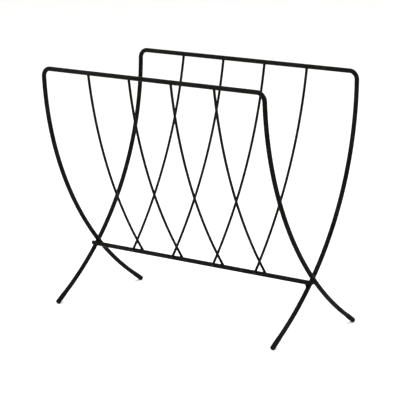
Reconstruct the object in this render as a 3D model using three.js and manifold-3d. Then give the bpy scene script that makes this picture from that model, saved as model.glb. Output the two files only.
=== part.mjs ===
// A wire magazine rack. Two bent rod frames cross like an X seen from the end, a bottom rail lies in
// the front crotch of the crossing, and four pairs of thin wires fill the two sides of the pocket.
// The frames are one and the same bend: the back one is the front one turned half round about Z,
// shifted along X so that their rods pass side by side where they cross.
// Millimetres, +Z up. The origin is on the floor, midway between the frames. X runs along the rack.
// Sides of the rack are drawn in the Y-Z plane, where a Vector2 holds (y, z).

import * as THREE from "three";
import { mergeVertices } from "three/addons/utils/BufferGeometryUtils.js";
import Module from "manifold-3d";

// Overall sizes
const FRAME_LENGTH = 400; // between the two side rods of one frame, centre to centre
const TOP_HEIGHT = 355; // centre of the top rails above the floor
const TOP_DEPTH = 218.4; // between the two top rails, centre to centre
const FOOT_DEPTH = 174.1; // between the flats that the front and the back feet stand on

// Rods and wires
const ROD_RADIUS = 3.3;
const RAIL_RADIUS = 3.3;
const WIRE_RADIUS = 1.9;
const GAP = 0.3; // left between pieces that touch or are welded together

// Bends of a frame
const CORNER_RADIUS = 12; // bend between a side and the top rail, on the rod's centreline
const TOP_LEAN = THREE.MathUtils.degToRad(2.2); // lean of a side from upright, below its corner
const LEG_STRAIGHT = 26; // unbent end of a leg

// Wires
const PAIRS = 4;
const PAIR_PITCH = 76; // between neighbouring pairs
const WIRE_STEP = 4.6; // each wire of a pair stands this far from the pair's middle
const WIRE_SWEEP = 620; // bend radius of a wire
const WIRE_TAIL = 3; // what a wire runs on past the rail that it rests on

// Foot caps
const CAP_LENGTH = 20;
const CAP_CLEARANCE = 0.2; // round the rod, and at the rod's end
const CAP_WALL = 0.35;
const CAP_END = 1.2; // thickness of the closed end
const CAP_EDGE = 0.7; // rounding of the closed end
const CAP_LIP = 0.15; // rounding of the open rim
const SOLE_CUT = 0.6; // what is taken off the lowest edge, to stand flat on the floor

// Weld beads
const COLLAR_HEIGHT = 1.4; // round a wire's top end
const COLLAR_SPREAD = 0.8; // of a collar, out from the wire, where it meets the top rail
const COLLAR_EDGE = 0.3; // of a collar, out from the wire, at its lower end
const BEAD_RADIUS = 1.8; // of the beads at the crossings and at the rail's ends
const BEAD_LENGTH = 4.4;

// Facets
const ROD_SIDES = 12;
const WIRE_SIDES = 8;
const COLLAR_SIDES = 16;
const BEAD_SIDES = 8;
const CAP_SIDES = 24;
const EDGE_STEPS = 3;
const CORNER_STEPS = 7;
const SIDE_STEPS = 20;
const WIRE_STEPS = 14;

// What follows from the sizes above
const CAP_BORE = ROD_RADIUS + CAP_CLEARANCE;
const CAP_RADIUS = CAP_BORE + CAP_WALL;
const FRAME_SHIFT = ROD_RADIUS + GAP / 2; // of each frame along X, front one to +X
const HALF_LENGTH = FRAME_LENGTH / 2;
const CORNER_START = new THREE.Vector2(
  -TOP_DEPTH / 2 + CORNER_RADIUS * Math.sin(TOP_LEAN),
  TOP_HEIGHT - CORNER_RADIUS * Math.cos(TOP_LEAN),
);
// A leg stands on the rounded edge of its cap. The edge's centre, and how far that lies down the leg
// and off its axis.
const FOOT_EDGE = new THREE.Vector2(FOOT_DEPTH / 2, CAP_EDGE - SOLE_CUT);
const EDGE_ALONG = LEG_STRAIGHT + CAP_END + CAP_CLEARANCE - CAP_EDGE;
const EDGE_ASIDE = CAP_RADIUS - CAP_EDGE;
const LEG_ANGLE = legAngle();
const SIDE_RADIUS = sideRadius(); // sweep of a side, on the rod's centreline
const SWEEP_CENTRE = CORNER_START.clone().add(
  new THREE.Vector2(Math.cos(TOP_LEAN), Math.sin(TOP_LEAN)).multiplyScalar(SIDE_RADIUS),
);
const CROSSING_HEIGHT = SWEEP_CENTRE.y - Math.sqrt(SIDE_RADIUS ** 2 - SWEEP_CENTRE.x ** 2);
const RAIL_CENTRE = railCentre();

// Angle of the legs from upright. One sweep joins the lean below the corner to the straight leg.
function legAngle() {
  const span = FOOT_EDGE.clone().sub(CORNER_START);
  const cos = Math.cos(TOP_LEAN);
  const sin = Math.sin(TOP_LEAN);
  const across = span.x + EDGE_ALONG * sin + EDGE_ASIDE * cos;
  const down = EDGE_ALONG * cos - EDGE_ASIDE * sin - span.y;
  const offset = span.x * sin - span.y * cos + EDGE_ALONG;
  return Math.PI - Math.asin(offset / Math.hypot(across, down)) - Math.atan2(down, across);
}

function sideRadius() {
  const leg = EDGE_ALONG * Math.cos(LEG_ANGLE) + EDGE_ASIDE * Math.sin(LEG_ANGLE);
  const fall = CORNER_START.y - FOOT_EDGE.y - leg;
  return fall / (Math.sin(LEG_ANGLE) - Math.sin(TOP_LEAN));
}

// The rail touches the front frame's rods from below and the back frame's from above.
function railCentre() {
  const reach = ROD_RADIUS + RAIL_RADIUS + GAP;
  const y = (-SIDE_RADIUS * reach) / SWEEP_CENTRE.x;
  const z = SWEEP_CENTRE.y - Math.sqrt((SIDE_RADIUS + reach) ** 2 - (y - SWEEP_CENTRE.x) ** 2);
  return new THREE.Vector2(y, z);
}

// A run of stations in space. An extrusion along it has one section at each station.
class RodPath extends THREE.Curve {
  constructor(stations) {
    super();
    this.stations = stations;
  }
  get steps() {
    return this.stations.length - 1;
  }
  getPoint(t, target = new THREE.Vector3()) {
    const place = THREE.MathUtils.clamp(t, 0, 1) * this.steps;
    const index = Math.min(Math.floor(place), this.steps - 1);
    return target.lerpVectors(this.stations[index], this.stations[index + 1], place - index);
  }
  getPointAt(u, target) {
    return this.getPoint(u, target);
  }
  getTangentAt(u, target = new THREE.Vector3()) {
    const index = Math.round(THREE.MathUtils.clamp(u, 0, 1) * this.steps);
    const before = this.stations[Math.max(index - 1, 0)];
    const after = this.stations[Math.min(index + 1, this.steps)];
    return target.subVectors(after, before).normalize();
  }
}

function roundSection(radius, sides) {
  const points = [];
  for (let i = 0; i < sides; i++) {
    const angle = ((i + 0.5) / sides) * 2 * Math.PI;
    points.push(new THREE.Vector2(radius * Math.cos(angle), radius * Math.sin(angle)));
  }
  return new THREE.Shape(points);
}

function bentRod(stations, radius, sides) {
  const path = new RodPath(stations);
  return new THREE.ExtrudeGeometry(roundSection(radius, sides), {
    steps: path.steps,
    extrudePath: path,
    bevelEnabled: false,
  });
}

// Points (y, z) of a front side, from the rod's end in its foot cap up to the top corner.
function sidePoints() {
  const points = [];
  for (let i = 0; i <= SIDE_STEPS; i++) {
    const angle = THREE.MathUtils.lerp(LEG_ANGLE, TOP_LEAN, i / SIDE_STEPS);
    const outward = new THREE.Vector2(-Math.cos(angle), -Math.sin(angle));
    points.push(SWEEP_CENTRE.clone().addScaledVector(outward, SIDE_RADIUS));
  }
  const down = new THREE.Vector2(Math.sin(LEG_ANGLE), -Math.cos(LEG_ANGLE));
  points.unshift(points[0].clone().addScaledVector(down, LEG_STRAIGHT));
  return points;
}

// The corner's bend lies in the plane of the rail and of the side's lean.
function cornerStations() {
  const stations = [];
  for (let i = 1; i <= CORNER_STEPS; i++) {
    const angle = ((i / CORNER_STEPS) * Math.PI) / 2;
    const rise = CORNER_RADIUS * Math.sin(angle);
    stations.push(
      new THREE.Vector3(
        -HALF_LENGTH + CORNER_RADIUS * (1 - Math.cos(angle)),
        CORNER_START.x - rise * Math.sin(TOP_LEAN),
        CORNER_START.y + rise * Math.cos(TOP_LEAN),
      ),
    );
  }
  return stations;
}

// One rod: up the left side, along the top rail and down the right side.
function frameGeometry() {
  const side = sidePoints().map((p) => new THREE.Vector3(-HALF_LENGTH, p.x, p.y));
  const left = side.concat(cornerStations());
  const right = left.map((p) => new THREE.Vector3(-p.x, p.y, p.z)).reverse();
  return bentRod(left.concat(right), ROD_RADIUS, ROD_SIDES);
}

// The centre of a circle of one radius through two others, on the +Y side of them.
function circleMeet(first, firstRadius, second, secondRadius) {
  const span = second.clone().sub(first);
  const distance = span.length();
  const along = (distance ** 2 + firstRadius ** 2 - secondRadius ** 2) / (2 * distance);
  const aside = Math.sqrt(firstRadius ** 2 - along ** 2);
  const unit = span.divideScalar(distance);
  const normal = new THREE.Vector2(-unit.y, unit.x);
  if (normal.x < 0) normal.negate();
  return first.clone().addScaledVector(unit, along).addScaledVector(normal, aside);
}

// Points (y, z) of a wire, from its tail past the rail up to the top rail. A front wire passes over
// the rail to the back of it. A back wire is drawn in the mirrored plane, where the rail is mirrored.
function wirePoints(railAt) {
  const top = new THREE.Vector2(-TOP_DEPTH / 2, TOP_HEIGHT - ROD_RADIUS - GAP);
  const reach = WIRE_SWEEP + RAIL_RADIUS + WIRE_RADIUS + GAP;
  const centre = circleMeet(top, WIRE_SWEEP, railAt, reach);
  const contact = centre.clone().sub(railAt).angle();
  const first = contact + WIRE_TAIL / WIRE_SWEEP;
  const last = centre.clone().sub(top).angle();
  const points = [];
  for (let i = 0; i <= WIRE_STEPS; i++) {
    const angle = THREE.MathUtils.lerp(first, unwrap(last, first), i / WIRE_STEPS);
    const outward = new THREE.Vector2(-Math.cos(angle), -Math.sin(angle));
    points.push(centre.clone().addScaledVector(outward, WIRE_SWEEP));
  }
  return points;
}

// The same direction as angle, within half a turn of near.
function unwrap(angle, near) {
  return angle + 2 * Math.PI * Math.round((near - angle) / (2 * Math.PI));
}

function wireStations(x, facing) {
  const railAt = new THREE.Vector2(facing * RAIL_CENTRE.x, RAIL_CENTRE.y);
  return wirePoints(railAt).map((p) => new THREE.Vector3(x, facing * p.x, p.y));
}

function wireGeometry(x, facing) {
  return bentRod(wireStations(x, facing), WIRE_RADIUS, WIRE_SIDES);
}

// The rail reaches to the middle of the outermost rod at each end: over the back frame's rod on the
// left, and under the front frame's on the right.
function railGeometry() {
  const reach = HALF_LENGTH + FRAME_SHIFT;
  const stations = [-1, 1].map((end) => new THREE.Vector3(end * reach, RAIL_CENTRE.x, RAIL_CENTRE.y));
  return bentRod(stations, RAIL_RADIUS, ROD_SIDES);
}

// A cap's outline, from the closed end at 0 to the open rim, turned about the leg's axis.
function capProfile() {
  const profile = [new THREE.Vector2(0, 0)];
  for (let i = 0; i <= EDGE_STEPS; i++) {
    const angle = ((i / EDGE_STEPS) * Math.PI) / 2;
    const radius = CAP_RADIUS - CAP_EDGE * (1 - Math.sin(angle));
    profile.push(new THREE.Vector2(radius, CAP_EDGE * (1 - Math.cos(angle))));
  }
  profile.push(new THREE.Vector2(CAP_RADIUS, CAP_LENGTH - CAP_LIP));
  profile.push(new THREE.Vector2(CAP_RADIUS - CAP_LIP, CAP_LENGTH));
  profile.push(new THREE.Vector2(CAP_BORE, CAP_LENGTH));
  profile.push(new THREE.Vector2(CAP_BORE, CAP_END));
  profile.push(new THREE.Vector2(0, CAP_END));
  return profile;
}

const wasm = await Module();
wasm.setup();

function toSolid(geometry) {
  const bare = geometry.clone();
  bare.deleteAttribute("normal");
  bare.deleteAttribute("uv");
  const merged = mergeVertices(bare, 1e-4);
  const vertProperties = new Float32Array(merged.attributes.position.array);
  const triVerts = new Uint32Array(merged.index.array);
  return new wasm.Manifold(new wasm.Mesh({ numProp: 3, vertProperties, triVerts }));
}

function toGeometry(solid) {
  const mesh = solid.getMesh();
  const geometry = new THREE.BufferGeometry();
  geometry.setAttribute("position", new THREE.BufferAttribute(mesh.vertProperties, 3));
  geometry.setIndex(new THREE.BufferAttribute(mesh.triVerts, 1));
  return geometry;
}

// A cap on the leg that ends at side (+X or -X) of the rack, cut flat where it meets the floor.
// facing is 1 for a leg of the front frame, which ends at the back, and -1 for the back frame's.
function capGeometry(side, facing) {
  const rodEnd = sidePoints()[0];
  const down = new THREE.Vector2(Math.sin(LEG_ANGLE), -Math.cos(LEG_ANGLE));
  const end = rodEnd.clone().addScaledVector(down, CAP_END + CAP_CLEARANCE);
  const cap = new THREE.LatheGeometry(capProfile(), CAP_SIDES);
  const up = new THREE.Vector3(0, -facing * down.x, -down.y);
  cap.applyQuaternion(new THREE.Quaternion().setFromUnitVectors(new THREE.Vector3(0, 1, 0), up));
  const x = facing * FRAME_SHIFT + side * HALF_LENGTH;
  cap.translate(x, facing * end.x, end.y);
  const floor = new THREE.BoxGeometry(4 * CAP_RADIUS, 4 * CAP_LENGTH, CAP_LENGTH);
  floor.translate(x, facing * end.x, -CAP_LENGTH / 2);
  return toGeometry(toSolid(cap).subtract(toSolid(floor)));
}

// A weld collar round a wire's top end, in line with the wire, and wide where it meets the top rail.
function collarGeometry(x, facing) {
  const inner = WIRE_RADIUS + GAP;
  const profile = [
    new THREE.Vector2(inner, -COLLAR_HEIGHT),
    new THREE.Vector2(inner + COLLAR_EDGE, -COLLAR_HEIGHT),
    new THREE.Vector2(inner + COLLAR_SPREAD, 0),
    new THREE.Vector2(inner, 0),
    new THREE.Vector2(inner, -COLLAR_HEIGHT),
  ];
  const collar = new THREE.LatheGeometry(profile, COLLAR_SIDES);
  const [below, top] = wireStations(x, facing).slice(-2);
  const along = top.clone().sub(below).normalize();
  const upright = new THREE.Vector3(0, 1, 0);
  collar.applyQuaternion(new THREE.Quaternion().setFromUnitVectors(upright, along));
  return collar.translate(top.x, top.y, top.z);
}

// A rounded weld bead that lies along X.
function beadGeometry() {
  const profile = [];
  for (let i = 0; i <= BEAD_SIDES; i++) {
    const angle = (i / BEAD_SIDES - 0.5) * Math.PI;
    const onAxis = i === 0 || i === BEAD_SIDES;
    const width = onAxis ? 0 : BEAD_RADIUS * Math.cos(angle);
    profile.push(new THREE.Vector2(width, (BEAD_LENGTH / 2) * Math.sin(angle)));
  }
  return new THREE.LatheGeometry(profile, BEAD_SIDES).rotateZ(-Math.PI / 2);
}

// A bead between the two rods that cross at this end of the rack, in their upper crotch.
function crossingBeadGeometry(side) {
  const slope = Math.acos(SWEEP_CENTRE.x / SIDE_RADIUS); // of the rods from upright, at the crossing
  const reach = ROD_RADIUS + GAP + BEAD_RADIUS;
  const lift = Math.sqrt(reach ** 2 - FRAME_SHIFT ** 2) / Math.sin(slope);
  return beadGeometry().translate(side * HALF_LENGTH, 0, CROSSING_HEIGHT + lift);
}

// A bead in the corner that the underside of the rail makes with the inner face of the back frame's
// leg. It touches both, so it lies off the rail towards the leg, which passes under the rail.
function railBeadGeometry(side) {
  const sweepCentre = new THREE.Vector2(-SWEEP_CENTRE.x, SWEEP_CENTRE.y);
  const toLeg = RAIL_CENTRE.clone().sub(sweepCentre).normalize();
  const reach = RAIL_RADIUS + GAP + BEAD_RADIUS;
  const place = RAIL_CENTRE.clone().addScaledVector(toLeg, reach);
  const legReach = ROD_RADIUS + GAP + BEAD_LENGTH / 2;
  const x = side * (HALF_LENGTH - legReach) - FRAME_SHIFT;
  return beadGeometry().translate(x, place.x, place.y);
}

function powderCoat() {
  return new THREE.MeshStandardMaterial({ color: 0x1e1c1b, roughness: 0.45, metalness: 0 });
}

function vinyl() {
  return new THREE.MeshStandardMaterial({ color: 0x151515, roughness: 0.6, metalness: 0 });
}

const rack = new THREE.Group();

function add(name, geometry, material) {
  const mesh = new THREE.Mesh(geometry, material);
  mesh.name = name;
  rack.add(mesh);
  return mesh;
}

function addFrames() {
  const front = add("front_frame", frameGeometry(), powderCoat());
  front.position.x = FRAME_SHIFT;
  const back = add("back_frame", frameGeometry(), powderCoat());
  back.position.x = -FRAME_SHIFT;
  back.rotation.z = Math.PI;
}

function addWires() {
  for (let pair = 1; pair <= PAIRS; pair++) {
    const middle = (pair - (PAIRS + 1) / 2) * PAIR_PITCH;
    for (const [face, facing] of [["front", 1], ["back", -1]]) {
      const x = middle + facing * WIRE_STEP;
      add(`${face}_wire_${pair}`, wireGeometry(x, facing), powderCoat());
      add(`${face}_wire_weld_${pair}`, collarGeometry(x, facing), powderCoat());
    }
  }
}

function addEnds() {
  for (const [end, side] of [["left", -1], ["right", 1]]) {
    add(`back_foot_cap_${end}`, capGeometry(side, 1), vinyl());
    add(`front_foot_cap_${end}`, capGeometry(side, -1), vinyl());
    add(`crossing_weld_${end}`, crossingBeadGeometry(side), powderCoat());
    add(`rail_end_weld_${end}`, railBeadGeometry(side), powderCoat());
  }
}

addFrames();
add("bottom_rail", railGeometry(), powderCoat());
addWires();
addEnds();

export default rack;
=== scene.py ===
import math

import bmesh
import bpy
from mathutils import Matrix, Quaternion, Vector, noise


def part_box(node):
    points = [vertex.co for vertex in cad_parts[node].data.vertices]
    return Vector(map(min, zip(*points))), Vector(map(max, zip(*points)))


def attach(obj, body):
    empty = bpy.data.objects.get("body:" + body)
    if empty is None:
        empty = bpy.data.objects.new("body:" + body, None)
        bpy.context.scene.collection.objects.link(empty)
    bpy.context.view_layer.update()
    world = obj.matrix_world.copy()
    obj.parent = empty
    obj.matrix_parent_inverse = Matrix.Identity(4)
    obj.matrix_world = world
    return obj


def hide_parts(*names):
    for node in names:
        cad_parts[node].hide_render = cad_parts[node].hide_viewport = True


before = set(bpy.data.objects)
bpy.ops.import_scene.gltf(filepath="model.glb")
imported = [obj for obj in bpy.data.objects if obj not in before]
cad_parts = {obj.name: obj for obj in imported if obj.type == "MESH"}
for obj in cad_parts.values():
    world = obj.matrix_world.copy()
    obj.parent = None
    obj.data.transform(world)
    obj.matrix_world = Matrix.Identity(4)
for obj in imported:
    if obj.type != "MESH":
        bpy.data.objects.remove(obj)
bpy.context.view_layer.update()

# The rack is worked out in millimetres, +Z up, with the origin on the floor midway between its sides.
# Each finished mesh is scaled to metres. A Vector of two numbers is a point (y, z) of a side.
MM = 0.001

# Overall sizes
FRAME_LENGTH = 400.0
TOP_HEIGHT = 355.0
TOP_DEPTH = 218.4
FOOT_DEPTH = 174.1

# Bars
ROD_RADIUS = 3.3
RAIL_RADIUS = 3.3
WIRE_RADIUS = 1.9
WELD_GAP = 0.3  # what the solids leave between welded bars, and the welds close
RAIL_SHEAR = -0.3  # slant of the rail's ends, which a shear cut, from square
SHEARED_EDGE = 0.35  # rounding that the coating gives a sheared end

# Bends
CORNER_RADIUS = 12.0
TOP_LEAN = math.radians(2.2)
LEG_STRAIGHT = 26.0
WIRE_SWEEP = 620.0
WIRE_TAIL = 3.0

# Foot sleeves
SLEEVE_LENGTH = 20.0
SLEEVE_RADIUS = 3.85
SLEEVE_GAP = 0.2  # what the solid cap leaves round the rod, where real vinyl clings
SLEEVE_END = 1.4  # from the rod's end to the sleeve's
SLEEVE_EDGE = 0.7  # rounding of the closed end
SLEEVE_RIM = 7.0  # length over which the rim thins out
SLEEVE_SOLE_MARGIN = 1.0  # from the rounded edge in to the flat middle of the closed end
SLEEVE_BARREL_START = 2  # height of the first plain ring over the closed end
RIM_TUCK = 0.05  # how far the thinned rim ends inside the rod
RIM_WAVE = 0.35  # how far the rim wanders along the rod
RIM_WAVE_PITCH = 1.2  # noise cells across the sleeve, for the rim's wave
RIM_WAVE_POWER = 4  # keeps the wave at the rim
SLEEVE_SWELL = 0.012  # unevenness of the dip, as a part of the radius
SLEEVE_SWELL_PITCH = 5.0  # length of its lumps along the leg
SOLE_CUT = 0.6  # what the weight of the rack flattens off the lowest edge

# Welds. A bead is its length and its radius, and a reach is how far a weld's skin runs along a bar.
BAR_THINNING = 0.06  # keeps a weld's stubs of bar inside the bars, so that only its fillets show
WELD_VOXEL = 0.28
WELD_SMOOTHING = 12  # passes, each at the softness below
WELD_SOFTNESS = 0.5
WELD_RIPPLE = 0.05
RIPPLE_PITCH = 1.3
TOP_REACH = 6.0
TOP_BEAD = (4.8, 1.9)
TOP_BEAD_RISE = 0.4  # from the top rail's underside up to the bead's middle
RAIL_REACH = 5.0
WIRE_BEAD = (4.2, 1.2)
RUN_BEAD = (5.0, 1.1)  # runs on from the wire towards the pair's other wire
RUN_SHIFT = 2.5
RUN_SINK = 0.5
CROSSING_REACH = 20.0
RAIL_END_REACH = 17.0
CROSSING_BEAD = (9.0, 1.7)
BACK_ROD_BEAD = (5.0, 1.6)
FRONT_ROD_BEAD = (5.0, 1.3)
WEB_REACH = 4.5  # of the web under each rail end, along the rail and down the leg
WEB_BEADS = 5
WEB_BEAD_RADIUS = 1.2
WEB_BEAD_LAP = 1.6  # what the two ends of a chord bead sink into the bars, together
WEB_ON_RAIL = (2.2, 2.5)  # where it starts: in from the rod's middle, down from the rail's
WEB_ON_LEG = (2.3, 2.2)  # where it ends: in from the rod's middle, down the leg

# How fine the bars are
ROD_SIDES = 32
WIRE_SIDES = 20
SLEEVE_SIDES = 48
SWEEP_STEPS = 90
WIRE_STEPS = 60
CORNER_STEPS = 18
EDGE_STEPS = 5
BEAD_SUBDIVISIONS = 3
STUB_STEP = 0.5
MERGE_DISTANCE = 0.001  # draws the middle of a sleeve's closed end into one point

PAIRS = (1, 2, 3, 4)
FACINGS = {"front": 1, "back": -1}  # the back frame is the front one turned half round
SIDES = {"left": -1, "right": 1}


def middle_of(node):
    """The middle of a CAD node's box, in millimetres."""
    low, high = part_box(node)
    return (low + high) / 2 / MM


FRAME_SHIFT = middle_of("front_frame").x
RAIL = middle_of("bottom_rail").yz


# ------------------------------------------------------------------------------------ the bends

def turned(angle):
    """The unit vector at an angle, for a bend or round a bar."""
    return Vector((math.cos(angle), math.sin(angle)))


CORNER_START = Vector((-TOP_DEPTH / 2, TOP_HEIGHT)) + CORNER_RADIUS * Vector(
    (math.sin(TOP_LEAN), -math.cos(TOP_LEAN))
)
FOOT_EDGE = Vector((FOOT_DEPTH / 2, SLEEVE_EDGE - SOLE_CUT))
EDGE_ALONG = LEG_STRAIGHT + SLEEVE_END - SLEEVE_EDGE
EDGE_ASIDE = SLEEVE_RADIUS - SLEEVE_EDGE


def leg_angle():
    """Angle of the legs from upright. One sweep joins the lean below the corner to the leg."""
    span = FOOT_EDGE - CORNER_START
    lean = turned(TOP_LEAN)
    across = span.x + EDGE_ALONG * lean.y + EDGE_ASIDE * lean.x
    down = EDGE_ALONG * lean.x - EDGE_ASIDE * lean.y - span.y
    offset = span.x * lean.y - span.y * lean.x + EDGE_ALONG
    return math.pi - math.asin(offset / math.hypot(across, down)) - math.atan2(down, across)


def side_radius():
    """Radius of the sweep that then brings the leg's lowest edge down to the floor."""
    leg = EDGE_ALONG * math.cos(LEG_ANGLE) + EDGE_ASIDE * math.sin(LEG_ANGLE)
    fall = CORNER_START.y - FOOT_EDGE.y - leg
    return fall / (math.sin(LEG_ANGLE) - math.sin(TOP_LEAN))


LEG_ANGLE = leg_angle()
LEG_DOWN = Vector((math.sin(LEG_ANGLE), -math.cos(LEG_ANGLE)))
SIDE_RADIUS = side_radius()
SWEEP_CENTRE = CORNER_START + SIDE_RADIUS * turned(TOP_LEAN)
CROSSING_HEIGHT = SWEEP_CENTRE.y - math.sqrt(SIDE_RADIUS**2 - SWEEP_CENTRE.x**2)


def side_points():
    """A front side from the rod's end in its sleeve up to the corner."""
    sweep = []
    for step in range(SWEEP_STEPS + 1):
        angle = LEG_ANGLE + (TOP_LEAN - LEG_ANGLE) * step / SWEEP_STEPS
        sweep.append(SWEEP_CENTRE - SIDE_RADIUS * turned(angle))
    return [sweep[0] + LEG_STRAIGHT * LEG_DOWN] + sweep


def corner_points():
    """The left top corner, in the leaning plane of the top of the side."""
    points = []
    for step in range(1, CORNER_STEPS + 1):
        turn = turned(step / CORNER_STEPS * math.pi / 2)
        rise = CORNER_RADIUS * turn.y
        points.append(
            Vector(
                (
                    -FRAME_LENGTH / 2 + CORNER_RADIUS * (1 - turn.x),
                    CORNER_START.x - rise * math.sin(TOP_LEAN),
                    CORNER_START.y + rise * math.cos(TOP_LEAN),
                )
            )
        )
    return points


def frame_path(facing):
    """One frame's rod. The back frame is the front one turned half round."""
    left = [Vector((-FRAME_LENGTH / 2, p.x, p.y)) for p in side_points()] + corner_points()
    right = [Vector((-p.x, p.y, p.z)) for p in reversed(left)]
    return [Vector((facing * (p.x + FRAME_SHIFT), facing * p.y, p.z)) for p in left + right]


def rail_path():
    """The rail ends at the middle of the outermost rod at each end of the rack."""
    reach = FRAME_LENGTH / 2 + FRAME_SHIFT
    return [Vector((end * reach, RAIL.x, RAIL.y)) for end in (-1, 1)]


def bend_centre(first, first_radius, second, second_radius):
    """Centre of the bend that keeps these distances from two points, on the +Y side of them."""
    span = second - first
    along = (span.length_squared + first_radius**2 - second_radius**2) / (2 * span.length)
    aside = math.sqrt(first_radius**2 - along**2)
    unit = span.normalized()
    normal = Vector((-unit.y, unit.x))
    if normal.x < 0:
        normal.negate()
    return first + along * unit + aside * normal


def wire_path(x, facing):
    """A wire from its tail past the rail up into the underside of its top rail."""
    top = Vector((-TOP_DEPTH / 2, TOP_HEIGHT - ROD_RADIUS))
    rail = Vector((facing * RAIL.x, RAIL.y))
    reach = WIRE_SWEEP + RAIL_RADIUS + WIRE_RADIUS + WELD_GAP
    centre = bend_centre(top, WIRE_SWEEP, rail, reach)
    first = math.atan2(centre.y - rail.y, centre.x - rail.x) + WIRE_TAIL / WIRE_SWEEP
    last = math.atan2(centre.y - top.y, centre.x - top.x)
    points = []
    for step in range(WIRE_STEPS + 1):
        point = centre - WIRE_SWEEP * turned(first + (last - first) * step / WIRE_STEPS)
        points.append(Vector((x, facing * point.x, point.y)))
    ending = (points[-1] - points[-2]).normalized()
    return points + [points[-1] + ending * WIRE_RADIUS]


# ------------------------------------------------------------------------------- mesh making

def unit_along(path, index):
    """The way a path heads at one of its points."""
    before = path[max(index - 1, 0)]
    after = path[min(index + 1, len(path) - 1)]
    return (after - before).normalized()


def rounded_stations(path, radius, edge):
    """Points and radii along a bar, with extra ones that round the two sheared ends."""
    stations = [(point, radius) for point in path[1:-1]]
    for at_start in (True, False):
        index = 0 if at_start else len(path) - 1
        inward = unit_along(path, index) * (1 if at_start else -1)
        end = []
        for step in range(EDGE_STEPS + 1):
            turn = turned(step / EDGE_STEPS * math.pi / 2)
            end.append((path[index] + inward * edge * (1 - turn.x), radius - edge * (1 - turn.y)))
        stations = end + stations if at_start else stations + end[::-1]
    return stations


def add_bar(mesh, path, radius, sides, edge=SHEARED_EDGE):
    """A round bar along a path. Its rings turn as little as they can from one to the next."""
    stations = rounded_stations(path, radius, edge)
    places = [place for place, _ in stations]
    heading = unit_along(places, 0)
    across = heading.orthogonal().normalized()
    rings = []
    for index, (place, width) in enumerate(stations):
        new_heading = unit_along(places, index)
        across = heading.rotation_difference(new_heading) @ across
        heading = new_heading
        upward = heading.cross(across)
        ring = []
        for side in range(sides):
            spoke = turned(side / sides * 2 * math.pi)
            ring.append(mesh.verts.new(place + width * (spoke.x * across + spoke.y * upward)))
        rings.append(ring)
    for near, far in zip(rings, rings[1:]):
        for side in range(sides):
            following = (side + 1) % sides
            mesh.faces.new((near[side], near[following], far[following], far[side]))
    mesh.faces.new(rings[0][::-1])
    mesh.faces.new(rings[-1])


def add_bead(mesh, middle, along, length, radius):
    """A bead of weld metal, drawn out along a direction."""
    turn = Vector((0, 0, 1)).rotation_difference(along.normalized()).to_matrix().to_4x4()
    size = Matrix.Diagonal((radius, radius, length / 2, 1))
    place = Matrix.Translation(middle) @ turn @ size
    bmesh.ops.create_icosphere(mesh, subdivisions=BEAD_SUBDIVISIONS, radius=1, matrix=place)


def finished(name, mesh, material, nodes):
    """Makes the object, in metres, hangs it from the root body and hides the CAD parts that it stands
    for.
    """
    mesh.normal_update()
    for face in mesh.faces:
        face.smooth = True
    data = bpy.data.meshes.new(name)
    mesh.to_mesh(data)
    mesh.free()
    data.transform(Matrix.Scale(MM, 4))
    data.materials.append(material)
    piece = bpy.data.objects.new(name, data)
    bpy.context.scene.collection.objects.link(piece)
    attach(piece, "root")
    if nodes:
        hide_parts(*nodes)
    return piece


def melted(mesh):
    """Melts overlapping bars and beads into one skin with soft fillets."""
    data = bpy.data.meshes.new("melt")
    mesh.to_mesh(data)
    mesh.free()
    lump = bpy.data.objects.new("melt", data)
    bpy.context.scene.collection.objects.link(lump)
    skin = lump.modifiers.new("skin", "REMESH")
    skin.mode = "VOXEL"
    skin.voxel_size = WELD_VOXEL
    soften = lump.modifiers.new("soften", "SMOOTH")
    soften.factor = WELD_SOFTNESS
    soften.iterations = WELD_SMOOTHING
    bpy.context.view_layer.update()
    result = bpy.data.meshes.new_from_object(lump.evaluated_get(bpy.context.evaluated_depsgraph_get()))
    bpy.data.objects.remove(lump)
    bpy.data.meshes.remove(data)
    skin_mesh = bmesh.new()
    skin_mesh.from_mesh(result)
    bpy.data.meshes.remove(result)
    return skin_mesh


def rippled(mesh):
    """The uneven skin of weld metal under the coating."""
    mesh.normal_update()
    for vert in mesh.verts:
        vert.co += vert.normal * WELD_RIPPLE * noise.noise(vert.co / RIPPLE_PITCH)
    return mesh


def stub(path, middle, reach):
    """The stretch of a path within reach of a point, in short steps."""
    points = []
    for start, end in zip(path, path[1:]):
        count = max(1, round((end - start).length / STUB_STEP))
        points += [start.lerp(end, step / count) for step in range(count)]
    points.append(path[-1])
    return [point for point in points if (point - middle).length < reach]


def add_stub(mesh, path, middle, reach, radius, sides):
    """The stretch of a bar that a weld's skin covers, a little thinner than the bar itself."""
    add_bar(mesh, stub(path, middle, reach), radius - BAR_THINNING, sides, edge=radius / 2)


# ------------------------------------------------------------------------------------ materials

# The sockets of a mix node that take and give colours, which share their names with its other ones
COLOUR_A = 6
COLOUR_B = 7
MIXED_COLOUR = 2


def linear(hex_colour):
    """A colour written as sRGB hex, turned to the linear values that shaders take."""
    parts = [int(hex_colour[i : i + 2], 16) / 255 for i in (1, 3, 5)]
    return tuple(((p + 0.055) / 1.055) ** 2.4 if p > 0.04045 else p / 12.92 for p in parts) + (1.0,)


def node(tree, kind, inputs=None, **settings):
    """Adds a node, with its settings, and sets or links its inputs by name or number."""
    made = tree.nodes.new(kind)
    for setting, value in settings.items():
        setattr(made, setting, value)
    for key, value in (inputs or {}).items():
        if isinstance(value, bpy.types.NodeSocket):
            tree.links.new(value, made.inputs[key])
        else:
            made.inputs[key].default_value = value
    return made


def per_mm(size):
    """The noise scale whose blobs are this many millimetres across."""
    return 1 / (size * MM)


def blank_material(name):
    material = bpy.data.materials.new(name)
    material.use_nodes = True
    material.node_tree.nodes.clear()
    return material, material.node_tree


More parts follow.
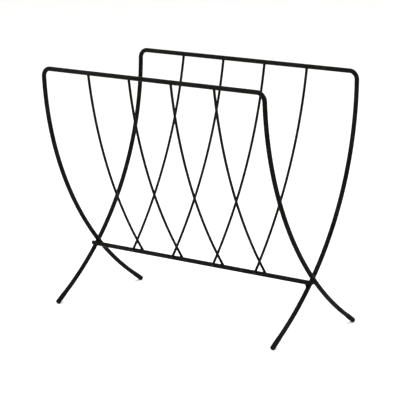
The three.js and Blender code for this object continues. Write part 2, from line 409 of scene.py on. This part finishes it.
def powder_coated_steel():
    """Mild steel rod and wire, electrostatically powder coated and baked: a single satin-black film.

    It gives a very dark, slightly brown black that barely catches the room, a faint orange peel, and a
    fine sand of paler grains. The peel of such a film is 1 to 3 mm across.
    """
    material, tree = blank_material("satin black powder-coated steel")
    place = node(tree, "ShaderNodeTexCoord").outputs["Object"]
    bloom = node(
        tree, "ShaderNodeTexNoise", {"Vector": place, "Scale": per_mm(38), "Detail": 3.0}
    ).outputs["Fac"]
    peel = node(
        tree, "ShaderNodeTexNoise", {"Vector": place, "Scale": per_mm(2.2), "Detail": 1.0}
    ).outputs["Fac"]
    # Real sand of 0.1 mm would not show, so it is drawn five times as coarse.
    sand = node(
        tree, "ShaderNodeTexNoise", {"Vector": place, "Scale": per_mm(0.5), "Roughness": 0.6}
    ).outputs["Fac"]
    rub = node(
        tree,
        "ShaderNodeTexNoise",
        {"Vector": place, "Scale": per_mm(11), "Detail": 4.0, "Roughness": 0.65},
    ).outputs["Fac"]
    bloomed = node(
        tree, "ShaderNodeMapRange", {"Value": bloom, "From Min": 0.35, "From Max": 0.65}
    ).outputs["Result"]
    worn = node(
        tree,
        "ShaderNodeMapRange",
        {"Value": rub, "From Min": 0.55, "From Max": 0.75, "To Max": 0.6},
    ).outputs["Result"]
    speckled = node(
        tree,
        "ShaderNodeMapRange",
        {"Value": sand, "From Min": 0.56, "From Max": 0.68, "To Max": 0.35},
    ).outputs["Result"]
    gloss = node(
        tree,
        "ShaderNodeMapRange",
        {"Value": rub, "From Min": 0.3, "From Max": 0.7, "To Min": 0.5, "To Max": 0.32},
    ).outputs["Result"]
    black = node(
        tree,
        "ShaderNodeMix",
        {"Factor": bloomed, COLOUR_A: linear("#040404"), COLOUR_B: linear("#110f0e")},
        data_type="RGBA",
    ).outputs[MIXED_COLOUR]
    rubbed = node(
        tree,
        "ShaderNodeMix",
        {"Factor": worn, COLOUR_A: black, COLOUR_B: linear("#24201e")},
        data_type="RGBA",
    ).outputs[MIXED_COLOUR]
    grained = node(
        tree,
        "ShaderNodeMix",
        {"Factor": speckled, COLOUR_A: rubbed, COLOUR_B: linear("#3b3633")},
        data_type="RGBA",
    ).outputs[MIXED_COLOUR]
    grit = node(
        tree, "ShaderNodeBump", {"Strength": 0.5, "Distance": 0.06 * MM, "Height": sand}
    ).outputs["Normal"]
    skin = node(
        tree, "ShaderNodeBump", {"Strength": 0.6, "Distance": 0.2 * MM, "Height": peel, "Normal": grit}
    ).outputs["Normal"]
    shader = node(
        tree,
        "ShaderNodeBsdfPrincipled",
        {
            "Base Color": grained,
            "Roughness": gloss,
            "Metallic": 0.0,
            "IOR": 1.5,
            "Specular IOR Level": 0.03,
            "Normal": skin,
        },
    )
    node(tree, "ShaderNodeOutputMaterial", {"Surface": shader.outputs["BSDF"]})
    return material


def dipped_vinyl():
    """Soft PVC, dip-moulded: the leg's end is dipped in plastisol and cured, and comes out matt black.

    It is deader than the coated steel, with a faint pebble, sags a few millimetres long, and a dusty
    scuff near the floor.
    """
    material, tree = blank_material("black dip-moulded vinyl")
    place = node(tree, "ShaderNodeTexCoord").outputs["Object"]
    height = node(tree, "ShaderNodeSeparateXYZ", {"Vector": place}).outputs["Z"]
    pebble = node(tree, "ShaderNodeTexNoise", {"Vector": place, "Scale": per_mm(0.7)}).outputs["Fac"]
    sag = node(
        tree, "ShaderNodeTexNoise", {"Vector": place, "Scale": per_mm(4.0), "Detail": 1.0}
    ).outputs["Fac"]
    dust = node(
        tree,
        "ShaderNodeTexNoise",
        {"Vector": place, "Scale": per_mm(1.8), "Detail": 3.0, "Roughness": 0.7},
    ).outputs["Fac"]
    low = node(
        tree,
        "ShaderNodeMapRange",
        {"Value": height, "From Min": 0.0, "From Max": 5 * MM, "To Min": 1.0, "To Max": 0.0},
    ).outputs["Result"]
    dusty = node(
        tree,
        "ShaderNodeMapRange",
        {"Value": dust, "From Min": 0.45, "From Max": 0.75, "To Max": 0.5},
    ).outputs["Result"]
    dullness = node(
        tree,
        "ShaderNodeMapRange",
        {"Value": sag, "From Min": 0.3, "From Max": 0.7, "To Min": 0.55, "To Max": 0.68},
    ).outputs["Result"]
    scuff = node(tree, "ShaderNodeMath", {0: low, 1: dusty}, operation="MULTIPLY").outputs["Value"]
    colour = node(
        tree,
        "ShaderNodeMix",
        {"Factor": scuff, COLOUR_A: linear("#0a0a0a"), COLOUR_B: linear("#33302e")},
        data_type="RGBA",
    ).outputs[MIXED_COLOUR]
    dimple = node(
        tree, "ShaderNodeBump", {"Strength": 0.3, "Distance": 0.05 * MM, "Height": pebble}
    ).outputs["Normal"]
    skin = node(
        tree, "ShaderNodeBump", {"Strength": 0.4, "Distance": 0.2 * MM, "Height": sag, "Normal": dimple}
    ).outputs["Normal"]
    shader = node(
        tree,
        "ShaderNodeBsdfPrincipled",
        {
            "Base Color": colour,
            "Roughness": dullness,
            "Metallic": 0.0,
            "IOR": 1.53,
            "Specular IOR Level": 0.04,
            "Normal": skin,
        },
    )
    node(tree, "ShaderNodeOutputMaterial", {"Surface": shader.outputs["BSDF"]})
    return material


def studio_paper():
    """Matt white background paper, with the faint cloudiness of its fibres."""
    material, tree = blank_material("matt white background paper")
    place = node(tree, "ShaderNodeTexCoord").outputs["Object"]
    cloud = node(
        tree, "ShaderNodeTexNoise", {"Vector": place, "Scale": per_mm(90), "Detail": 4.0}
    ).outputs["Fac"]
    clouded = node(
        tree, "ShaderNodeMapRange", {"Value": cloud, "From Min": 0.3, "From Max": 0.7}
    ).outputs["Result"]
    colour = node(
        tree,
        "ShaderNodeMix",
        {"Factor": clouded, COLOUR_A: linear("#f4f4f3"), COLOUR_B: linear("#f8f8f7")},
        data_type="RGBA",
    ).outputs[MIXED_COLOUR]
    shader = node(
        tree,
        "ShaderNodeBsdfPrincipled",
        {"Base Color": colour, "Roughness": 0.9, "Specular IOR Level": 0.1},
    )
    node(tree, "ShaderNodeOutputMaterial", {"Surface": shader.outputs["BSDF"]})
    return material


STEEL = powder_coated_steel()
VINYL = dipped_vinyl()


# ------------------------------------------------------------------------------------ the rack

def make_frames():
    for name, facing in FACINGS.items():
        mesh = bmesh.new()
        add_bar(mesh, frame_path(facing), ROD_RADIUS, ROD_SIDES)
        finished(f"{name}_frame_rod", mesh, STEEL, [f"{name}_frame"])


def make_rail():
    mesh = bmesh.new()
    add_bar(mesh, rail_path(), RAIL_RADIUS, ROD_SIDES)
    for vert in mesh.verts:
        if abs(vert.co.x) > FRAME_LENGTH / 2:
            vert.co.x += RAIL_SHEAR * (vert.co.z - RAIL.y)
    finished("bottom_rail_rod", mesh, STEEL, ["bottom_rail"])


def wire_x(name, pair):
    return middle_of(f"{name}_wire_{pair}").x


def make_wires():
    for name, facing in FACINGS.items():
        for pair in PAIRS:
            mesh = bmesh.new()
            add_bar(mesh, wire_path(wire_x(name, pair), facing), WIRE_RADIUS, WIRE_SIDES)
            finished(f"{name}_bar_{pair}", mesh, STEEL, [f"{name}_wire_{pair}"])


def make_top_weld(name, facing, pair):
    """Where a wire is butted to the underside of the top rail."""
    path = wire_path(wire_x(name, pair), facing)
    joint = path[-2]
    rail = [Vector((joint.x + end * TOP_REACH, joint.y, TOP_HEIGHT)) for end in (-1, 1)]
    mesh = bmesh.new()
    add_bar(mesh, rail, ROD_RADIUS - BAR_THINNING, ROD_SIDES)
    add_stub(mesh, path, joint, TOP_REACH, WIRE_RADIUS, WIRE_SIDES)
    add_bead(mesh, joint + Vector((0, 0, TOP_BEAD_RISE)), Vector((1, 0, 0)), *TOP_BEAD)
    finished(
        f"{name}_top_weld_{pair}",
        rippled(melted(mesh)),
        STEEL,
        [f"{name}_wire_weld_{pair}"],
    )


def make_rail_weld(name, facing, pair):
    """Where a wire rests on the bottom rail. The weld runs on towards the pair's other wire."""
    path = wire_path(wire_x(name, pair), facing)
    tail = path[0]
    wire_line = unit_along(path, 1)
    away = Vector((0, tail.y - RAIL.x, tail.z - RAIL.y))
    away -= away.dot(wire_line) * wire_line
    away.normalize()
    touch = Vector((tail.x, RAIL.x, RAIL.y)) + away * (RAIL_RADIUS + WELD_GAP / 2)
    rail = [Vector((tail.x + end * RAIL_REACH, RAIL.x, RAIL.y)) for end in (-1, 1)]
    inward = Vector((-facing, 0, 0))
    mesh = bmesh.new()
    add_bar(mesh, rail, RAIL_RADIUS - BAR_THINNING, ROD_SIDES)
    add_stub(mesh, path, touch, RAIL_REACH, WIRE_RADIUS, WIRE_SIDES)
    add_bead(mesh, touch, wire_line, *WIRE_BEAD)
    add_bead(mesh, touch + inward * RUN_SHIFT - away * RUN_SINK, inward, *RUN_BEAD)
    finished(f"{name}_rail_weld_{pair}", rippled(melted(mesh)), STEEL, [])


def add_web(mesh, on_rail, rail_way, on_leg, leg_way):
    """Weld metal that hollows out the corner of two bars, laid as chords from one to the other."""
    for step in range(WEB_BEADS):
        part = (step + 0.5) / WEB_BEADS
        start = on_rail + rail_way * WEB_REACH * (1 - part)
        end = on_leg + leg_way * WEB_REACH * part
        span = end - start
        add_bead(mesh, (start + end) / 2, span, span.length + WEB_BEAD_LAP, WEB_BEAD_RADIUS)


def make_end_weld(name, side):
    """Where the two frames cross side by side and the rail ends in their front crotch."""
    middle = side * FRAME_LENGTH / 2
    crossing = Vector((middle, 0, CROSSING_HEIGHT))
    rail_at = Vector((middle, RAIL.x, RAIL.y))
    front_centre = Vector((middle, SWEEP_CENTRE.x, SWEEP_CENTRE.y))
    back_centre = Vector((middle, -SWEEP_CENTRE.x, SWEEP_CENTRE.y))
    to_front = (front_centre - rail_at).normalized()
    to_back = (rail_at - back_centre).normalized()
    touch = RAIL_RADIUS + WELD_GAP / 2
    along_x = Vector((1, 0, 0))
    inward = -side * along_x
    on_front_rod = rail_at + FRAME_SHIFT * along_x
    on_back_rod = rail_at - FRAME_SHIFT * along_x
    front_line = along_x.cross(to_front).normalized()
    back_line = along_x.cross(to_back).normalized()
    if back_line.z > 0:
        back_line.negate()
    mesh = bmesh.new()
    for facing in FACINGS.values():
        add_stub(mesh, frame_path(facing), crossing, CROSSING_REACH, ROD_RADIUS, ROD_SIDES)
    add_stub(mesh, rail_path(), rail_at, RAIL_END_REACH, RAIL_RADIUS, ROD_SIDES)
    add_bead(mesh, crossing, Vector((0, 0, 1)), *CROSSING_BEAD)
    add_bead(mesh, on_back_rod + to_back * touch, back_line, *BACK_ROD_BEAD)
    add_bead(mesh, on_front_rod + to_front * touch, front_line, *FRONT_ROD_BEAD)
    rail_in, rail_down = WEB_ON_RAIL
    leg_in, leg_down = WEB_ON_LEG
    web_on_rail = on_back_rod + inward * rail_in + to_back * rail_down
    web_on_leg = on_back_rod + inward * leg_in + to_back * 2 * touch + back_line * leg_down
    add_web(mesh, web_on_rail, inward, web_on_leg, back_line)
    finished(
        f"end_weld_{name}",
        rippled(melted(mesh)),
        STEEL,
        [f"crossing_weld_{name}", f"rail_end_weld_{name}"],
    )


def make_welds():
    for name, facing in FACINGS.items():
        for pair in PAIRS:
            make_top_weld(name, facing, pair)
            make_rail_weld(name, facing, pair)
    for name, side in SIDES.items():
        make_end_weld(name, side)


def sleeve_profile():
    """Radius and height above the closed end, from its middle up to the thinned rim."""
    outer = SLEEVE_RADIUS - SLEEVE_GAP
    wall = outer - ROD_RADIUS + RIM_TUCK
    steps = EDGE_STEPS * 2
    turns = [turned(step / steps * math.pi / 2) for step in range(steps + 1)]
    profile = [(0.0, 0.0), (outer - SLEEVE_EDGE - SLEEVE_SOLE_MARGIN, 0.0)]
    profile += [(outer - SLEEVE_EDGE * (1 - turn.y), SLEEVE_EDGE * (1 - turn.x)) for turn in turns]
    for height in range(SLEEVE_BARREL_START, round(SLEEVE_LENGTH - SLEEVE_RIM)):
        profile.append((outer, float(height)))
    for turn in turns:
        profile.append((outer - wall * (1 - turn.x), SLEEVE_LENGTH - SLEEVE_RIM * (1 - turn.y)))
    return profile


def make_sleeve(end_name, side, face_name, facing):
    """A leg's dipped end. facing is that of the frame, whose legs end on the other side."""
    end = side_points()[0] + SLEEVE_END * LEG_DOWN
    base = Vector((facing * FRAME_SHIFT + side * FRAME_LENGTH / 2, facing * end.x, end.y))
    up = Vector((0, -facing * LEG_DOWN.x, -LEG_DOWN.y))
    turn = Vector((0, 0, 1)).rotation_difference(up)
    mesh = bmesh.new()
    rings = []
    for radius, height in sleeve_profile():
        ring = []
        for step in range(SLEEVE_SIDES):
            spoke = turned(step / SLEEVE_SIDES * 2 * math.pi)
            wave = noise.noise(Vector((spoke.x, spoke.y, base.x + base.y)) * RIM_WAVE_PITCH)
            climb = height + RIM_WAVE * wave * (height / SLEEVE_LENGTH) ** RIM_WAVE_POWER
            lump = noise.noise(Vector((spoke.x, spoke.y, height / SLEEVE_SWELL_PITCH + base.x)))
            swell = 1 + SLEEVE_SWELL * lump
            local = Vector((radius * swell * spoke.x, radius * swell * spoke.y, climb))
            place = base + turn @ local
            place.z = max(place.z, 0.0)
            ring.append(mesh.verts.new(place))
        rings.append(ring)
    for lower, upper in zip(rings, rings[1:]):
        for step in range(SLEEVE_SIDES):
            following = (step + 1) % SLEEVE_SIDES
            mesh.faces.new((lower[step], lower[following], upper[following], upper[step]))
    mesh.faces.new(rings[-1])
    bmesh.ops.remove_doubles(mesh, verts=mesh.verts, dist=MERGE_DISTANCE)
    finished(
        f"{face_name}_foot_sleeve_{end_name}",
        mesh,
        VINYL,
        [f"{face_name}_foot_cap_{end_name}"],
    )


def make_sleeves():
    for end_name, side in SIDES.items():
        make_sleeve(end_name, side, "back", 1)
        make_sleeve(end_name, side, "front", -1)


# ------------------------------------------------------------------------------------ the studio

# The studio is set out in metres, its lights are in watts, and its lens and sensor in millimetres.
FLOOR_HALF_WIDTH = 12.0
FLOOR_CELLS = 24
SOFTBOX_AIM = Vector((0, 0, 0.15))
SOFTBOXES = {  # each with its place, its width and its power
    "overhead_softbox": ((0.4, -0.3, 2.4), 2.6, 45),
    "left_softbox": ((-2.2, -1.6, 1.5), 1.6, 16),
    "right_softbox": ((2.4, 0.6, 1.4), 1.6, 10),
}
ROOM_STRENGTH = 1.0

AIM = Vector((0.0002, -0.001, 0.1672))
CAMERA_AZIMUTH = math.radians(39.92)
CAMERA_ELEVATION = math.radians(12.42)
CAMERA_ROLL = math.radians(-1.04)
CAMERA_DISTANCE = 2.819
CAMERA_LENS = 177.5
CAMERA_SENSOR = 36.0
CAMERA_REACH = 100.0


def make_floor():
    mesh = bmesh.new()
    bmesh.ops.create_grid(mesh, x_segments=FLOOR_CELLS, y_segments=FLOOR_CELLS, size=FLOOR_HALF_WIDTH)
    data = bpy.data.meshes.new("studio_floor")
    mesh.to_mesh(data)
    mesh.free()
    data.materials.append(studio_paper())
    floor = bpy.data.objects.new("studio_floor", data)
    bpy.context.scene.collection.objects.link(floor)


def make_softbox(name, place, size, power):
    light = bpy.data.lights.new(name, "AREA")
    light.shape = "SQUARE"
    light.size = size
    light.energy = power
    box = bpy.data.objects.new(name, light)
    box.location = place
    aim = SOFTBOX_AIM - box.location
    box.rotation_mode = "QUATERNION"
    box.rotation_quaternion = aim.to_track_quat("-Z", "Y")
    bpy.context.scene.collection.objects.link(box)


def make_lights():
    for name, (place, size, power) in SOFTBOXES.items():
        make_softbox(name, place, size, power)
    world = bpy.data.worlds.new("white room")
    world.use_nodes = True
    background = world.node_tree.nodes["Background"]
    background.inputs["Color"].default_value = linear("#ffffff")
    background.inputs["Strength"].default_value = ROOM_STRENGTH
    bpy.context.scene.world = world
    bpy.context.scene.view_settings.view_transform = "Standard"


def make_camera():
    camera = bpy.data.objects.new("camera", bpy.data.cameras.new("camera"))
    level = math.cos(CAMERA_ELEVATION)
    outward = Vector(
        (
            math.sin(CAMERA_AZIMUTH) * level,
            -math.cos(CAMERA_AZIMUTH) * level,
            math.sin(CAMERA_ELEVATION),
        )
    )
    camera.location = AIM + outward * CAMERA_DISTANCE
    camera.rotation_mode = "QUATERNION"
    roll = Quaternion((0, 0, 1), CAMERA_ROLL)
    camera.rotation_quaternion = (-outward).to_track_quat("-Z", "Y") @ roll
    camera.data.lens = CAMERA_LENS
    camera.data.sensor_width = CAMERA_SENSOR
    camera.data.clip_end = CAMERA_REACH
    bpy.context.scene.collection.objects.link(camera)
    bpy.context.scene.camera = camera


make_frames()
make_rail()
make_wires()
make_welds()
make_sleeves()
make_floor()
make_lights()
make_camera()
